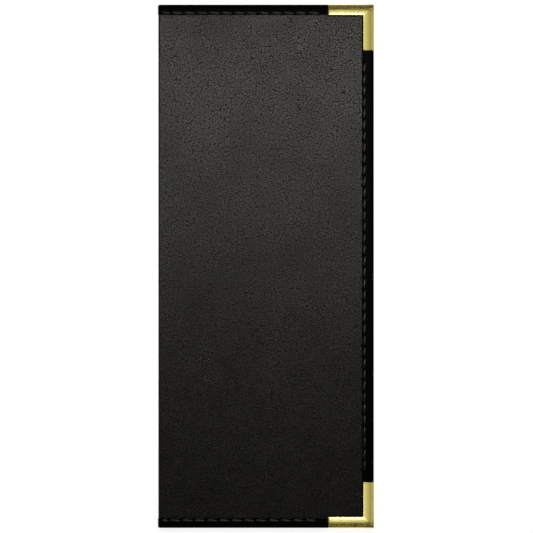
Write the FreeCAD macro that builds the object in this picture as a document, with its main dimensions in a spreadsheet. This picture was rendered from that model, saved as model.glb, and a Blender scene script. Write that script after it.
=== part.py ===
import FreeCAD, Part
import os
import re

import Sketcher

# A book-type menu cover, closed and lying on its back panel. Two stiffened panels are joined by a
# narrow stiffened spine. One leatherette skin runs round the outside. A tape folded over the head,
# the fore-edge and the foot is sewn through the layers, and a brass corner is pressed over each
# fore-edge corner. Inside, each panel has a lining and a clear sheet that makes a pocket.
#
# X runs from the spine to the fore-edge, Y from the foot to the head, and Z up. The origin is in
# the middle of the closed cover, on the surface that it lies on. Millimetres throughout.

SIZES = {
    # the closed cover, over its brass corners
    "cover_width": 120.65,
    "cover_height": 292.1,
    "closed_gap": 0.3,
    # layers of a panel, from the outside in
    "skin_thickness": 0.7,
    "board_thickness": 1.5,
    "lining_thickness": 0.3,
    "pocket_thickness": 0.25,
    # spine
    "spine_board_thickness": 1.0,
    "crease_radius": 1.2,
    "crease_to_spine_board": 0.3,
    "groove_gap": 0.3,
    "lining_lap": 2.0,
    # edge tape, its widths measured in from the outline of the cover
    "tape_thickness": 0.5,
    "tape_proud": 0.2,
    "head_tape_width": 5.9,
    "fore_tape_width": 6.9,
    "foot_tape_width": 6.75,
    "roll_radius": 1.35,
    # brass corners
    "brass_thickness": 0.4,
    "brass_face_proud": 0.2,
    "brass_edge_proud": 0.15,
    "corner_length_along_edge": 25.6,
    "corner_length_up_side": 25.8,
    "corner_head_width": 5.75,
    "corner_fore_width": 6.2,
    "corner_foot_width": 6.1,
    # pockets
    "pocket_setback": 9.0,
    # stitching
    "stitch_length": 5.3,
    "stitch_pitch": 6.85,
    "fore_stitch_pitch": 6.3,
    "spine_stitch_length": 4.4,
    "thread_width": 0.9,
    "thread_height": 0.35,
    "furrow_width": 1.1,
    "furrow_depth": 0.2,
    "head_stitch_inset": 4.9,
    "fore_stitch_inset": 5.1,
    "foot_stitch_inset": 4.3,
}

# Heights in the back panel, counted up from the surface that the cover lies on.
TAPE_FACE = "brass_face_proud"
SKIN_FACE = f"({TAPE_FACE} + tape_proud)"
PRESSED_FACE = f"({TAPE_FACE} + tape_thickness)"
BOARD_FACE = f"({SKIN_FACE} + skin_thickness)"
LINING_FACE = f"({BOARD_FACE} + board_thickness)"
POCKET_FACE = f"({LINING_FACE} + lining_thickness)"
INNER_TAPE_FACE = f"({POCKET_FACE} + pocket_thickness)"
INNER_TAPE_TOP = f"({INNER_TAPE_FACE} + tape_thickness)"
PANEL_TOP = f"({INNER_TAPE_TOP} + brass_face_proud)"
MIDDLE = f"({PANEL_TOP} + closed_gap / 2)"

# Places across the spine, from its outer face towards the fore-edge.
STITCH_PROUD = "(thread_height - furrow_depth)"
SPINE_TAPE = f"({STITCH_PROUD} - cover_width / 2)"
SPINE_SKIN = f"({SPINE_TAPE} + tape_proud)"
SPINE_PRESSED = f"({SPINE_TAPE} + tape_thickness)"
SPINE_BOARD = f"({SPINE_SKIN} + skin_thickness)"
SPINE_LINING = f"({SPINE_BOARD} + spine_board_thickness)"
SPINE_INNER_TAPE = f"({SPINE_LINING} + lining_thickness)"
SPINE_INSIDE = f"({SPINE_INNER_TAPE} + tape_thickness)"
CREASE_END = f"({SPINE_SKIN} + crease_radius)"
PANEL_START = f"({SPINE_INSIDE} + groove_gap)"
BOARD_START = f"({PANEL_START} + lining_thickness)"
LINING_START = f"({BOARD_START} + lining_lap)"
POCKET_START = "(pocket_setback - cover_width / 2)"

# Edges of the tape, of the layers that it holds, and of the window that it leaves open.
TAPE_FORE = "(cover_width / 2 - brass_edge_proud)"
TAPE_HEAD = "(cover_height / 2 - brass_edge_proud)"
LAYERS_FORE = f"({TAPE_FORE} - roll_radius)"
LAYERS_HEAD = f"({TAPE_HEAD} - roll_radius)"
WINDOW_FORE = "(cover_width / 2 - fore_tape_width)"
WINDOW_HEAD = "(cover_height / 2 - head_tape_width)"
WINDOW_FOOT = "(foot_tape_width - cover_height / 2)"

# Ends of the spine board, and of the web of tape on the inside of the spine.
SPINE_BOARD_END = f"({SKIN_FACE} + crease_radius + crease_to_spine_board)"
GROOVE_LINING_TOP = f"({BOARD_FACE} + lining_thickness)"
WEB_END = f"({GROOVE_LINING_TOP} + groove_gap)"

# Spans from the foot to the head, and across each furrow.
FOOT_TO_HEAD = (f"-{LAYERS_HEAD}", LAYERS_HEAD)
TAPE_FOOT_TO_HEAD = (f"-{TAPE_HEAD}", TAPE_HEAD)
STITCH_LINE = {
    "head": (
        "cover_height / 2 - head_stitch_inset - furrow_width / 2",
        "cover_height / 2 - head_stitch_inset + furrow_width / 2",
    ),
    "foot": (
        "foot_stitch_inset - cover_height / 2 - furrow_width / 2",
        "foot_stitch_inset - cover_height / 2 + furrow_width / 2",
    ),
    "fore": (
        "cover_width / 2 - fore_stitch_inset - furrow_width / 2",
        "cover_width / 2 - fore_stitch_inset + furrow_width / 2",
    ),
}

# How far a cutting block runs past what it cuts, and how far apart two equal lengths may be.
PAST = "5"
SAME = 0.001

doc = FreeCAD.newDocument("menu_cover")


def make_sheet():
    """Puts the driving dimensions in a spreadsheet, one named cell each."""
    sheet = doc.addObject("Spreadsheet::Sheet", "sizes")
    for row, (name, value) in enumerate(SIZES.items(), start=1):
        sheet.set(f"A{row}", name)
        sheet.set(f"B{row}", str(value))
        sheet.setAlias(f"B{row}", name)
    doc.recompute()
    return sheet


sheet = make_sheet()


def size(name):
    """The value of a named cell."""
    return float(sheet.get(name))


def bind(item, prop, formula):
    """Binds a property to a formula of the sheet's names."""
    item.setExpression(prop, re.sub(r"[a-z][a-z_]+", lambda found: "sizes." + found[0], formula))


def place(item, x, y, z):
    """Binds the corner of an object to three formulas."""
    bind(item, "Placement.Base.x", x)
    bind(item, "Placement.Base.y", y)
    bind(item, "Placement.Base.z", z)


def reach(span):
    """The formula for the length between the two ends of a span."""
    return f"({span[1]}) - ({span[0]})"


def block(name, x, y, z):
    """A block between two formulas along each axis."""
    made = doc.addObject("Part::Box", name)
    place(made, x[0], y[0], z[0])
    bind(made, "Length", reach(x))
    bind(made, "Width", reach(y))
    bind(made, "Height", reach(z))
    return made


def cut(name, base, *tools):
    """The base with every tool taken away."""
    for number, tool in enumerate(tools, start=1):
        made = doc.addObject("Part::Cut", name if number == len(tools) else f"{name}_cut_{number}")
        made.Base = base
        made.Tool = tool
        base = made
    return base


def rounded(name, base, radius, wanted):
    """The base with the edges that pass the test rounded."""
    doc.recompute()
    made = doc.addObject("Part::Fillet", name)
    made.Base = base
    made.Edges = [
        (number, radius, radius)
        for number, edge in enumerate(base.Shape.Edges, start=1)
        if wanted(edge.BoundBox, base.Shape.BoundBox)
    ]
    return made


def near(a, b):
    """Whether two lengths are the same."""
    return abs(a - b) < SAME


def edges_on(*sides):
    """A test for the lying edges on the named sides of a block."""

    def wanted(edge, whole):
        off = {
            "fore": edge.XMin - whole.XMax,
            "spine": edge.XMax - whole.XMin,
            "head": edge.YMin - whole.YMax,
            "foot": edge.YMax - whole.YMin,
        }
        return near(edge.ZLength, 0) and any(near(off[side], 0) for side in sides)

    return wanted


def rim_on(side):
    """A test for the outer rim at the head or foot of a spine piece."""

    def wanted(edge, whole):
        off = edge.YMin - whole.YMax if side == "head" else edge.YMax - whole.YMin
        return near(off, 0) and not near(edge.XMin, whole.XMax)

    return wanted


def plate(name, x, y, z):
    """A flat sheet or board: one sketched rectangle, padded."""
    body = doc.addObject("PartDesign::Body", name)
    place(body, x[0], y[0], z[0])
    padded(body, name, ("0", reach(x)), ("0", reach(y)), ("0", reach(z)))
    return body


def padded(body, name, x, y, z):
    """Adds a padded rectangle to a body, in the body's own frame."""
    ground = [plane for plane in body.Origin.OriginFeatures if plane.Role == "XY_Plane"][0]
    sketch = body.newObject("Sketcher::SketchObject", f"{name}_outline")
    sketch.AttachmentSupport = [(ground, "")]
    sketch.MapMode = "FlatFace"
    bind(sketch, "AttachmentOffset.Base.z", z[0])
    corners = [(0, 0), (1, 0), (1, 1), (0, 1)]
    points = [FreeCAD.Vector(px, py, 0) for px, py in corners]
    for start, end in zip(points, points[1:] + points[:1]):
        sketch.addGeometry(Part.LineSegment(start, end))
    for line in range(4):
        sketch.addConstraint(Sketcher.Constraint("Coincident", line, 2, (line + 1) % 4, 1))
        sketch.addConstraint(Sketcher.Constraint("Vertical" if line % 2 else "Horizontal", line))
    for role, kind, first, second, formula in (
        ("left", "DistanceX", (-1, 1), (0, 1), x[0]),
        ("low", "DistanceY", (-1, 1), (0, 1), y[0]),
        ("long", "DistanceX", (0, 1), (0, 2), reach(x)),
        ("wide", "DistanceY", (1, 1), (1, 2), reach(y)),
    ):
        number = sketch.addConstraint(Sketcher.Constraint(kind, *first, *second, 1.0))
        sketch.renameConstraint(number, role)
        bind(sketch, f"Constraints.{role}", formula)
    pad = body.newObject("PartDesign::Pad", f"{name}_thickness")
    pad.Profile = sketch
    bind(pad, "Length", reach(z))
    body.Tip = pad
    return pad


def mirrored(name, source):
    """The front panel's piece: the back panel's, mirrored in the plane between the two."""
    made = doc.addObject("Part::Mirroring", name)
    made.Source = source
    made.Normal = FreeCAD.Vector(0, 0, 1)
    bind(made, "Base.z", MIDDLE)
    return made


def across(formula):
    """The same height in the front panel as a formula gives in the back panel."""
    return f"(2 * {MIDDLE} - {formula})"


def make_layers():
    """The flat layers of the back panel, from the board to the clear sheet."""
    plate("back_board", (BOARD_START, LAYERS_FORE), FOOT_TO_HEAD, (BOARD_FACE, LINING_FACE))
    plate("back_lining", (LINING_START, LAYERS_FORE), FOOT_TO_HEAD, (LINING_FACE, POCKET_FACE))
    plate("back_pocket_sheet", (POCKET_START, LAYERS_FORE), FOOT_TO_HEAD, (POCKET_FACE, INNER_TAPE_FACE))


def make_skin():
    """The leatherette of the back panel: full thickness in the window, pressed under the tape."""
    body = doc.addObject("PartDesign::Body", "back_leatherette")
    place(body, CREASE_END, f"-{LAYERS_HEAD}", SKIN_FACE)
    padded(
        body,
        "back_skin_pressed",
        ("0", f"{LAYERS_FORE} - {CREASE_END}"),
        ("0", f"2 * {LAYERS_HEAD}"),
        (f"{PRESSED_FACE} - {SKIN_FACE}", "skin_thickness"),
    )
    padded(
        body,
        "back_skin_window",
        ("0", f"{WINDOW_FORE} - {CREASE_END}"),
        (f"{WINDOW_FOOT} + {LAYERS_HEAD}", f"{WINDOW_HEAD} + {LAYERS_HEAD}"),
        ("0", f"{PRESSED_FACE} - {SKIN_FACE}"),
    )


def make_corner(name, side, leg_width):
    """A brass corner: a channel pressed over two edges, with the inside of the L open."""
    signs = {"head": (1, "cover_height / 2"), "foot": (-1, "-cover_height / 2")}
    sign, edge = signs[side]

    def span(inner, outer):
        """The range in Y between two distances in from the head or foot edge."""
        ends = [f"{edge} - {sign} * ({inner})", f"{edge} - {sign} * ({outer})"]
        return tuple(ends if sign > 0 else reversed(ends))

    radius = size("roll_radius") + size("brass_edge_proud")
    outside = rounded(
        f"{name}_outside",
        block(
            f"{name}_block",
            ("cover_width / 2 - corner_length_along_edge", "cover_width / 2"),
            span("corner_length_up_side", "0"),
            ("0", PANEL_TOP),
        ),
        radius,
        edges_on("fore", side),
    )
    inside = rounded(
        f"{name}_inside",
        block(
            f"{name}_hollow",
            (f"cover_width / 2 - corner_length_along_edge - {PAST}", "cover_width / 2 - brass_thickness"),
            span(f"corner_length_up_side + {PAST}", "brass_thickness"),
            ("brass_thickness", f"{PANEL_TOP} - brass_thickness"),
        ),
        radius - size("brass_thickness"),
        edges_on("fore", side),
    )
    opening = block(
        f"{name}_opening",
        (f"cover_width / 2 - corner_length_along_edge - {PAST}", "cover_width / 2 - corner_fore_width"),
        span(f"corner_length_up_side + {PAST}", leg_width),
        (f"-{PAST}", f"{PANEL_TOP} + {PAST}"),
    )
    return cut(name, outside, inside, opening)


def make_furrows():
    """The shallow furrows that the stitching pulls into the tape, on both faces of the panel."""
    corner_start = "cover_width / 2 - corner_length_along_edge"
    corner_end = "(cover_height / 2 - corner_length_up_side)"
    faces = {
        "outer": (CREASE_END, TAPE_FACE, f"{TAPE_FACE} + furrow_depth"),
        "inner": (PANEL_START, f"{INNER_TAPE_TOP} - furrow_depth", INNER_TAPE_TOP),
    }
    furrows = {}
    for face, (start, low, high) in faces.items():
        for side in ("head", "foot"):
            name = f"back_{face}_{side}_furrow"
            furrows[face, side] = block(name, (start, corner_start), STITCH_LINE[side], (low, high))
        between_corners = (f"-{corner_end}", corner_end)
        furrows[face, "fore"] = block(
            f"back_{face}_fore_furrow", STITCH_LINE["fore"], between_corners, (low, high)
        )
    return furrows


def make_spine_furrows(side):
    """The furrows of the two stitches that cross the spine, outside and inside."""
    name = f"spine_{side}_furrow"
    crease_end = f"({SKIN_FACE} + crease_radius)"
    return {
        "outer": block(
            f"{name}_outer",
            (SPINE_TAPE, f"{SPINE_TAPE} + furrow_depth"),
            STITCH_LINE[side],
            (crease_end, across(crease_end)),
        ),
        "inner": block(
            f"{name}_inner",
            (f"{SPINE_INSIDE} - furrow_depth", SPINE_INSIDE),
            STITCH_LINE[side],
            (WEB_END, across(WEB_END)),
        ),
    }


def make_binding(corners, furrows):
    """The tape folded over the head, fore-edge and foot of the back panel."""
    roll = size("roll_radius")
    sides = edges_on("head", "fore", "foot")
    tape = rounded(
        "back_tape_outside",
        block("back_tape_block", (CREASE_END, TAPE_FORE), TAPE_FOOT_TO_HEAD, (TAPE_FACE, INNER_TAPE_TOP)),
        roll,
        sides,
    )
    hollow = rounded(
        "back_tape_hollow",
        block(
            "back_tape_hollow_block",
            (f"{CREASE_END} - {PAST}", f"{TAPE_FORE} - tape_thickness"),
            (f"tape_thickness - {TAPE_HEAD}", f"{TAPE_HEAD} - tape_thickness"),
            (PRESSED_FACE, INNER_TAPE_FACE),
        ),
        roll - size("tape_thickness"),
        sides,
    )
    window = block(
        "back_tape_window",
        (f"{CREASE_END} - {PAST}", WINDOW_FORE),
        (WINDOW_FOOT, WINDOW_HEAD),
        (f"-{PAST}", f"{INNER_TAPE_TOP} + {PAST}"),
    )
    relief = block(
        "back_tape_groove_relief",
        (f"{CREASE_END} - {PAST}", PANEL_START),
        (f"-{TAPE_HEAD} - {PAST}", f"{TAPE_HEAD} + {PAST}"),
        (GROOVE_LINING_TOP, f"{INNER_TAPE_TOP} + {PAST}"),
    )
    return cut("back_binding", tape, hollow, window, relief, *furrows.values(), *corners)


def make_spine_tape(side, furrows):
    """The tape folded over the head or foot of the spine, round both creases."""
    name = f"spine_{side}_binding"
    under = {"head": (WINDOW_HEAD, TAPE_HEAD), "foot": (f"-{TAPE_HEAD}", WINDOW_FOOT)}[side]
    past_under = {
        "head": (f"{WINDOW_HEAD} - {PAST}", f"{TAPE_HEAD} - tape_thickness"),
        "foot": (f"tape_thickness - {TAPE_HEAD}", f"{WINDOW_FOOT} + {PAST}"),
    }[side]
    turn = size("crease_radius") + size("tape_proud")
    roll = size("roll_radius")
    outside = rounded(
        f"{name}_creased",
        block(f"{name}_block", (SPINE_TAPE, SPINE_INSIDE), under, (TAPE_FACE, across(TAPE_FACE))),
        turn,
        edges_on("spine"),
    )
    outside = rounded(f"{name}_outside", outside, roll, rim_on(side))
    hollow = rounded(
        f"{name}_hollow",
        block(
            f"{name}_hollow_block",
            (SPINE_PRESSED, SPINE_INNER_TAPE),
            past_under,
            (PRESSED_FACE, across(PRESSED_FACE)),
        ),
        turn - size("tape_thickness"),
        edges_on("spine"),
    )
    hollow = rounded(f"{name}_rolled_hollow", hollow, roll - size("tape_thickness"), rim_on(side))
    past_crease = (CREASE_END, f"{SPINE_INSIDE} + {PAST}")
    past_head = (f"-{TAPE_HEAD} - {PAST}", f"{TAPE_HEAD} + {PAST}")
    rooms = [
        block(f"{name}_back_room", past_crease, past_head, ("0", WEB_END)),
        block(f"{name}_front_room", past_crease, past_head, (across(WEB_END), across("0"))),
    ]
    return cut(name, outside, hollow, *rooms, *furrows.values())


def make_spine_skin(tapes):
    """The leatherette of the spine, with the two rounded creases that it folds at."""
    past_crease = f"{CREASE_END} + {PAST}"
    outside = rounded(
        "spine_skin_outside",
        block("spine_skin_block", (SPINE_SKIN, past_crease), FOOT_TO_HEAD, (SKIN_FACE, across(SKIN_FACE))),
        size("crease_radius"),
        edges_on("spine"),
    )
    inside = rounded(
        "spine_skin_inside",
        block(
            "spine_skin_hollow",
            (SPINE_BOARD, f"{past_crease} + {PAST}"),
            TAPE_FOOT_TO_HEAD,
            (BOARD_FACE, across(BOARD_FACE)),
        ),
        size("crease_radius") - size("skin_thickness"),
        edges_on("spine"),
    )
    beyond = block(
        "spine_skin_beyond", (CREASE_END, f"{past_crease} + {PAST}"), TAPE_FOOT_TO_HEAD, ("0", across("0"))
    )
    return cut("spine_leatherette", outside, inside, beyond, *tapes)


def make_spine_lining():
    """The strip that lines the spine and turns down into the two joint grooves."""
    within_skin = (BOARD_FACE, across(BOARD_FACE))
    strip = rounded(
        "spine_lining_outside",
        block("spine_lining_block", (SPINE_BOARD, LINING_START), FOOT_TO_HEAD, within_skin),
        size("crease_radius") - size("skin_thickness"),
        edges_on("spine"),
    )
    over_boards = (BOARD_START, f"{LINING_START} + {PAST}")
    room_for = {
        "spine_board": ((SPINE_BOARD, SPINE_LINING), (SPINE_BOARD_END, across(SPINE_BOARD_END))),
        "back_board": (over_boards, ("0", LINING_FACE)),
        "front_board": (over_boards, (across(LINING_FACE), across("0"))),
        "grooves": ((SPINE_INNER_TAPE, PANEL_START), (GROOVE_LINING_TOP, across(GROOVE_LINING_TOP))),
        "closing": ((SPINE_INNER_TAPE, f"{LINING_START} + {PAST}"), (POCKET_FACE, across(POCKET_FACE))),
    }
    rooms = [block(f"room_for_{name}", x, TAPE_FOOT_TO_HEAD, z) for name, (x, z) in room_for.items()]
    return cut("spine_lining", strip, *rooms)


def one_stitch(length):
    """One thread lying along X, domed upwards from a flat seat at the origin."""
    width = size("thread_width")
    height = size("thread_height")
    dome = (width * width / 4 + height * height) / (2 * height)
    straight = length - width
    centre = height - dome
    thread = Part.makeCylinder(
        dome, straight, FreeCAD.Vector(-straight / 2, 0, centre), FreeCAD.Vector(1, 0, 0)
    )
    ends = [Part.makeSphere(dome, FreeCAD.Vector(side * straight / 2, 0, centre)) for side in (-1, 1)]
    above = Part.makeBox(2 * length, 2 * length, length, FreeCAD.Vector(-length, -length, 0))
    return thread.fuse(ends).common(above).removeSplitter()


def sewn_row(furrow, length, pitch, outward):
    """A row of stitches seated in a furrow, the first half a gap in from the furrow's low end."""
    room = furrow.Shape.BoundBox
    sides = FreeCAD.Vector(room.XLength, room.YLength, room.ZLength)
    run = max(sides)
    along = FreeCAD.Vector(*(float(side == run) for side in sides))
    sideways = outward.cross(along)
    turn = FreeCAD.Matrix(
        along.x, sideways.x, outward.x, 0,
        along.y, sideways.y, outward.y, 0,
        along.z, sideways.z, outward.z, 0,
    )
    stitch = one_stitch(length)
    seat = room.Center - outward * abs(outward.dot(sides)) / 2
    row = []
    for number in range(int(run / pitch)):
        laid = stitch.copy()
        laid.Placement = FreeCAD.Placement(turn)
        laid.translate(seat + along * ((number + 0.5) * pitch - run / 2))
        row.append(laid)
    return row


def make_stitching(name, rows):
    """One sub-part of separate threads: the furrow, pitch and outward direction of each row."""
    made = doc.addObject("Part::Feature", name)
    made.Shape = Part.makeCompound([thread for row in rows for thread in sewn_row(*row)])
    return made


def panel_rows(furrows):
    """The lockstitch rows of the back panel, which show on both of its faces."""
    length = size("stitch_length")
    rows = []
    for (face, side), furrow in furrows.items():
        pitch = size("fore_stitch_pitch") if side == "fore" else size("stitch_pitch")
        rows.append((furrow, length, pitch, FreeCAD.Vector(0, 0, -1 if face == "outer" else 1)))
    return rows


def spine_rows(furrows):
    """The single stitches that cross the spine, outside and inside."""
    rows = []
    for face, furrow in furrows.items():
        outward = FreeCAD.Vector(-1 if face == "outer" else 1, 0, 0)
        rows.append((furrow, size("spine_stitch_length"), furrow.Shape.BoundBox.ZLength, outward))
    return rows


def export_subparts(names):
    """Checks every object, then writes one file for each sub-part."""
    doc.recompute()
    for item in doc.Objects:
        if "Invalid" in item.State or "Error" in item.State:
            raise RuntimeError(f"{item.Label} failed: {item.State}")
    os.makedirs("parts", exist_ok=True)
    for name in names:
        shape = doc.getObject(name).Shape
        if shape.isNull() or not shape.isValid() or shape.Volume <= 0:
            raise RuntimeError(f"{name} has no valid solid")
        shape.exportStep(f"parts/{name}.step")


def make_back_panel():
    """All the pieces of the back panel."""
    make_layers()
    make_skin()
    corners = [
        make_corner("back_head_corner", "head", "corner_head_width"),
        make_corner("back_foot_corner", "foot", "corner_foot_width"),
    ]
    furrows = make_furrows()
    make_binding(corners, furrows)
    make_stitching("back_stitching", panel_rows(furrows))


def make_spine():
    """All the pieces of the spine."""
    head = make_spine_furrows("head")
    foot = make_spine_furrows("foot")
    make_spine_skin([make_spine_tape("head", head), make_spine_tape("foot", foot)])
    between_creases = (SPINE_BOARD_END, across(SPINE_BOARD_END))
    plate("spine_board", (SPINE_BOARD, SPINE_LINING), FOOT_TO_HEAD, between_creases)
    make_spine_lining()
    make_stitching("spine_stitching", spine_rows(head) + spine_rows(foot))


PANEL_PIECES = [
    "leatherette",
    "board",
    "lining",
    "pocket_sheet",
    "binding",
    "head_corner",
    "foot_corner",
    "stitching",
]
SPINE_PIECES = [
    "spine_leatherette",
    "spine_board",
    "spine_lining",
    "spine_head_binding",
    "spine_foot_binding",
    "spine_stitching",
]

make_back_panel()
make_spine()
for piece in PANEL_PIECES:
    mirrored(f"front_{piece}", doc.getObject(f"back_{piece}"))
panels = [f"{panel}_{piece}" for panel in ("back", "front") for piece in PANEL_PIECES]
export_subparts(panels + SPINE_PIECES)
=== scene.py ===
import math

import bmesh
import bpy
from mathutils import Matrix, Vector, noise


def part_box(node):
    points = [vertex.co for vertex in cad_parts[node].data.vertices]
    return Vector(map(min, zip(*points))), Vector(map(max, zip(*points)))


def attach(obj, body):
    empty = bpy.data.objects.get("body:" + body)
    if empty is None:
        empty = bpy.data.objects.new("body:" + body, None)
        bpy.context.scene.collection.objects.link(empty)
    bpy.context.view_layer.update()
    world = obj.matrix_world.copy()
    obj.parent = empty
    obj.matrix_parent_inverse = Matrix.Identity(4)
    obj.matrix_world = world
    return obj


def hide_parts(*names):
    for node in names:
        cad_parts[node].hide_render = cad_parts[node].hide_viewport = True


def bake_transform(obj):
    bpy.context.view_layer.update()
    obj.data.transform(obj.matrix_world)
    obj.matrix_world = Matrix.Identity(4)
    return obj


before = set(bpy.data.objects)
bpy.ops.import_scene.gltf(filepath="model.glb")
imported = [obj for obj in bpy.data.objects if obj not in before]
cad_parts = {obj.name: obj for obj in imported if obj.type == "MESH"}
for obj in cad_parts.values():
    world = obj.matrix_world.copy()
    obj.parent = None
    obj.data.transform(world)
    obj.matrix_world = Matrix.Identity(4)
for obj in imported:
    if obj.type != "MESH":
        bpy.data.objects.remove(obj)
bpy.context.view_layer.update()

# A closed book-type menu cover lying on its back panel. Lengths are millimetres until a mesh is
# finished, which scales it to metres. The back panel's pieces are made first, and the front
# panel's are the same pieces mirrored in the plane between the two.
MM = 0.001


def box(node):
    """The lowest and highest corners of a node, in millimetres."""
    low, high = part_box(node)
    return low / MM, high / MM


BRASS_LOW, BRASS_HIGH = box("back_head_corner")
FOOT_BRASS_LOW, FOOT_BRASS_HIGH = box("back_foot_corner")
TAPE_LOW, TAPE_HIGH = box("back_binding")
SPINE_TAPE_LOW, SPINE_TAPE_HIGH = box("spine_head_binding")
SKIN_LOW, SKIN_HIGH = box("back_leatherette")
SPINE_SKIN_LOW, SPINE_SKIN_HIGH = box("spine_leatherette")
BOARD_LOW, BOARD_HIGH = box("back_board")
SPINE_BOARD_LOW, SPINE_BOARD_HIGH = box("spine_board")
LINING_LOW, LINING_HIGH = box("back_lining")
FILM_LOW, FILM_HIGH = box("back_pocket_sheet")

MIDDLE = (SPINE_SKIN_LOW.z + SPINE_SKIN_HIGH.z) / 2
CREASE_END = SKIN_LOW.x
SKIN_TUCK = 1.6
WINDOW_HEAD = SPINE_TAPE_LOW.y + 0.35
WINDOW_FOOT = box("spine_foot_binding")[1].y - 1.6
FORE_TAPE_WIDTH = 6.5
WINDOW_FORE = BRASS_HIGH.x - FORE_TAPE_WIDTH

# layers
SKIN_THICKNESS = SPINE_BOARD_LOW.x - SPINE_SKIN_LOW.x
CREASE_RADIUS = CREASE_END - SPINE_SKIN_LOW.x
CREASE_CENTRE = Vector((CREASE_END, 0, SPINE_SKIN_LOW.z + CREASE_RADIUS))
TAPE_THICKNESS = 0.5
TAPE_PROUD = SPINE_SKIN_LOW.x - SPINE_TAPE_LOW.x
LINING_THICKNESS = LINING_HIGH.z - LINING_LOW.z
PANEL_START = BOARD_LOW.x - LINING_THICKNESS
PRESSED = TAPE_THICKNESS - TAPE_PROUD
TAPE_DEPTH = TAPE_HIGH.z - TAPE_LOW.z
SPINE_TAPE_DEPTH = SPINE_TAPE_HIGH.x - SPINE_TAPE_LOW.x

# the soft roll of the tape and the brass over the edge of the cover
TAPE_ROLL = 4.9
SPINE_ROLL = 1.1
BRASS_CROWN = 0.8
TUCK = 0.4
BRASS_THICKNESS = 0.35

# rows of stitching: distance in from the tape's own edge, first needle hole and pitch
HEAD_STITCH = {"inset": 4.65, "first": -58.3, "next": -52.7, "pitch": 6.908, "last": 31.0}
FOOT_STITCH = {"inset": 4.3, "first": -58.3, "next": -54.05, "pitch": 6.86, "last": 29.0}
FORE_STITCH = {"inset": 5.2, "hole": 43.99, "pitch": 6.34, "end": 119.2}
THREAD_WIDTH = 0.95
THREAD_HEIGHT = 0.34
HOLE_RADIUS = 0.6
HOLE_DEPTH = 0.3
SCALLOP = 0.9

UP_X, UP_Y, UP_Z = Vector((1, 0, 0)), Vector((0, 1, 0)), Vector((0, 0, 1))


# Mesh helpers


def station(origin, inward, depth):
    """A place on a path: where the section sits, its inward direction and its depth direction."""
    across = depth.cross(inward)
    grid = Matrix((inward, across, depth)).transposed().to_4x4()
    grid.translation = origin
    return grid


def run(first, last, step):
    """Stations from one to another in even steps of about the given length."""
    count = max(1, round((last.translation - first.translation).length / step))
    return [first * (1 - k / count) + last * (k / count) for k in range(count + 1)]


def path(*stops, step):
    """Stations along a path through the given stops."""
    whole = [stops[0]]
    for first, last in zip(stops, stops[1:]):
        whole += run(first, last, step)[1:]
    return whole


def sweep(bm, section, stations, closed=True):
    """Lays a grid through the stations, each row shaped as the section of (inward, depth) points.
    A closed section is welded round and capped. Returns the rows."""
    loop = section + section[:1] if closed else section
    made = bmesh.ops.create_grid(bm, x_segments=len(loop) - 1, y_segments=len(stations) - 1, size=1)
    verts = sorted(made["verts"], key=lambda vert: (vert.co.y, vert.co.x))
    rings = [verts[k * len(loop) : (k + 1) * len(loop)] for k in range(len(stations))]
    for place, ring in zip(stations, rings):
        for (inward, depth), vert in zip(loop, ring):
            vert.co = place @ Vector((inward, 0, depth))
    if closed:
        bmesh.ops.weld_verts(bm, targetmap={ring[-1]: ring[0] for ring in rings})
        rings = [ring[:-1] for ring in rings]
        for end in (rings[0], rings[-1]):
            bmesh.ops.contextual_create(bm, geom=end)
    return rings


def across_middle(bm):
    """Mirrors the mesh in the plane between the panels."""
    bmesh.ops.scale(bm, vec=(1, 1, -1), verts=bm.verts)
    bmesh.ops.translate(bm, vec=(0, 0, 2 * MIDDLE), verts=bm.verts)


def finished(bm, name, material, smooth_angle=40):
    """Turns the mesh into an object in metres, with its faces outwards."""
    bmesh.ops.recalc_face_normals(bm, faces=bm.faces)
    bmesh.ops.scale(bm, vec=(MM, MM, MM), verts=bm.verts)
    mesh = bpy.data.meshes.new(name)
    bm.to_mesh(mesh)
    bm.free()
    for face in mesh.polygons:
        face.use_smooth = True
    mesh.set_sharp_from_angle(angle=math.radians(smooth_angle))
    mesh.materials.append(material)
    piece = bpy.data.objects.new(name, mesh)
    bpy.context.scene.collection.objects.link(piece)
    return piece


def smoothstep(low, high, value):
    """0 below low, 1 above high, and a smooth rise between."""
    t = min(1, max(0, (value - low) / (high - low)))
    return t * t * (3 - 2 * t)


def noise_at(point, cell):
    """Slow noise from -1 to 1 with the given cell size in millimetres."""
    return noise.noise(Vector(point) / cell)


# Node helpers


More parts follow.
